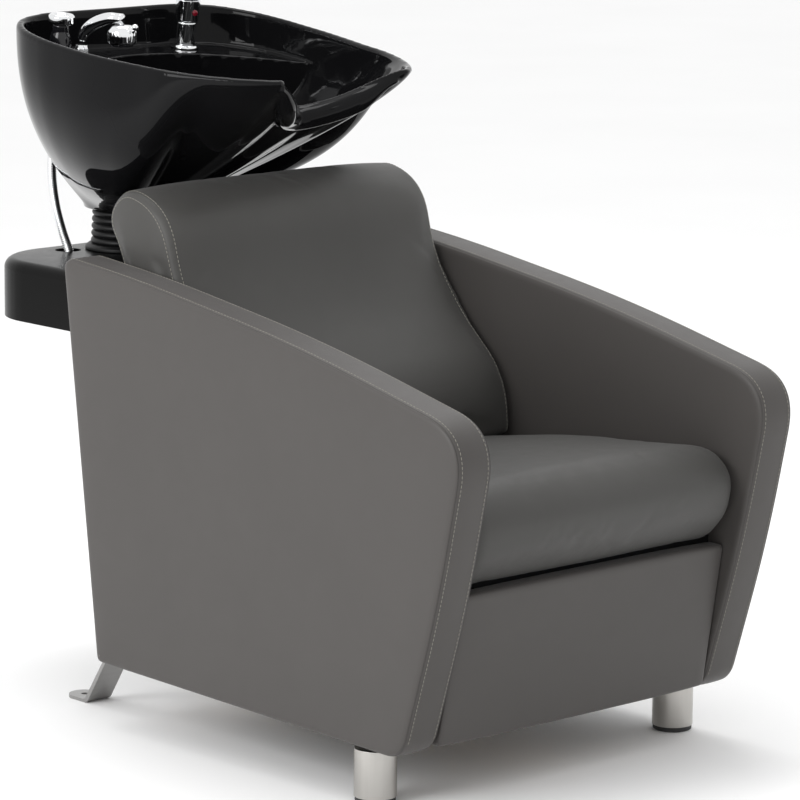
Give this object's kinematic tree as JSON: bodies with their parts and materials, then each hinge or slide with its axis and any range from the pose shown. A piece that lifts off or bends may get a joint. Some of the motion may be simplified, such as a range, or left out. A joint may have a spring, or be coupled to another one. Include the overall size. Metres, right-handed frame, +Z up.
{
  "type": "shampoo backwash unit",
  "caption": "Upholstered salon armchair with a tilting ceramic hair-washing basin, mixer and hand spray on a rear service shelf.",
  "frame": {"origin": "floor level, middle of the footprint", "axes": "+Z up, the sitter faces -Y, +X is the side the mixer stands on"},
  "size_m": [0.66, 1.1886, 1.0614],
  "materials": {
    "vinyl_outer": "grey upholstery vinyl, fine grain",
    "vinyl_cushion": "grey upholstery vinyl, fine grain",
    "plywood": "plywood",
    "timber": "softwood rail",
    "frame_steel": "black powder coat",
    "leg_steel": "brushed",
    "glide": "black",
    "shelf_abs": "black satin ABS",
    "boot_rubber": "black corrugated",
    "ceramic": "black gloss glaze",
    "chrome": "polished",
    "brass": "raw",
    "dark_plastic": "black",
    "red_plastic": "dark red",
    "pipe_plastic": "grey"
  },
  "bodies": {
    "chair": {"arm_left": "vinyl_outer", "arm_right": "vinyl_outer", "back_board": "plywood", "back_cushion": "vinyl_cushion", "bellows": "boot_rubber", "bellows_ring": "boot_rubber", "centre_rail": "timber", "drain_hose": "pipe_plastic", "frame_post_left": "frame_steel", "frame_post_right": "frame_steel", "front_panel": "vinyl_outer", "front_rail": "timber", "glide_left": "glide", "glide_right": "glide", "leg_left": "leg_steel", "leg_right": "leg_steel", "pedestal_plate": "frame_steel", "pedestal_rib_left": "frame_steel", "pedestal_rib_right": "frame_steel", "rear_bracket_left": "leg_steel", "rear_bracket_right": "leg_steel", "rear_panel": "vinyl_outer", "rear_rail": "timber", "seat_board": "plywood", "seat_cushion": "vinyl_cushion", "service_shelf": "shelf_abs", "spray_hose": "chrome", "tilt_yoke": "frame_steel"},
    "bowl": {"bowl": "ceramic", "bowl_bracket": "frame_steel", "hinge_bolt_left": "leg_steel", "hinge_bolt_right": "leg_steel", "drain_flange": "chrome", "drain_tailpiece": "pipe_plastic", "mixer_flange": "chrome", "mixer_nut": "brass", "mixer_body": "chrome", "mixer_index_button": "red_plastic", "breaker_body": "dark_plastic", "breaker_cap": "chrome", "hose_guide": "chrome"},
    "mixer_cap": {"mixer_cap": "chrome"},
    "mixer_lever": {"mixer_lever": "chrome"},
    "strainer": {"drain_strainer": "chrome"},
    "sprayer": {"sprayer_nut": "chrome", "sprayer_tail_hose": "chrome", "sprayer_handle": "chrome", "sprayer_head": "chrome", "sprayer_face": "dark_plastic"},
    "sprayer_knob": {"sprayer_knob": "chrome"}
  },
  "joints": [
    {"name": "bowl_tilt", "type": "hinge", "parent": "chair", "child": "bowl", "pos_m": [0, 0.4975, 0.672], "axis": [-1, 0, 0], "range_deg": [0, 15], "deforming": ["bellows", "spray_hose"]},
    {"name": "mixer_turn", "type": "hinge", "parent": "bowl", "child": "mixer_cap", "pos_m": [0.118, 0.48766, 1.03336], "axis": [0, -0.1093, 0.994], "range_deg": [-45, 45]},
    {"name": "lever_lift", "type": "hinge", "parent": "mixer_cap", "child": "mixer_lever", "pos_m": [0.118, 0.50093, 1.04991], "axis": [-1, 0, 0], "range_deg": [0, 25]},
    {"name": "strainer_lift", "type": "slide", "parent": "bowl", "child": "strainer", "axis": [0, 0, 1], "range_m": [0, 0.04]},
    {"name": "sprayer_pull", "type": "slide", "parent": "bowl", "child": "sprayer", "axis": [0, -0.1093, 0.994], "range_m": [0, 0.06]},
    {"name": "knob_turn", "type": "hinge", "parent": "sprayer", "child": "sprayer_knob", "pos_m": [-0.103, 0.3505, 0.999], "axis": [0, -0.8304, 0.5572], "range_deg": [0, 90]}
  ]
}
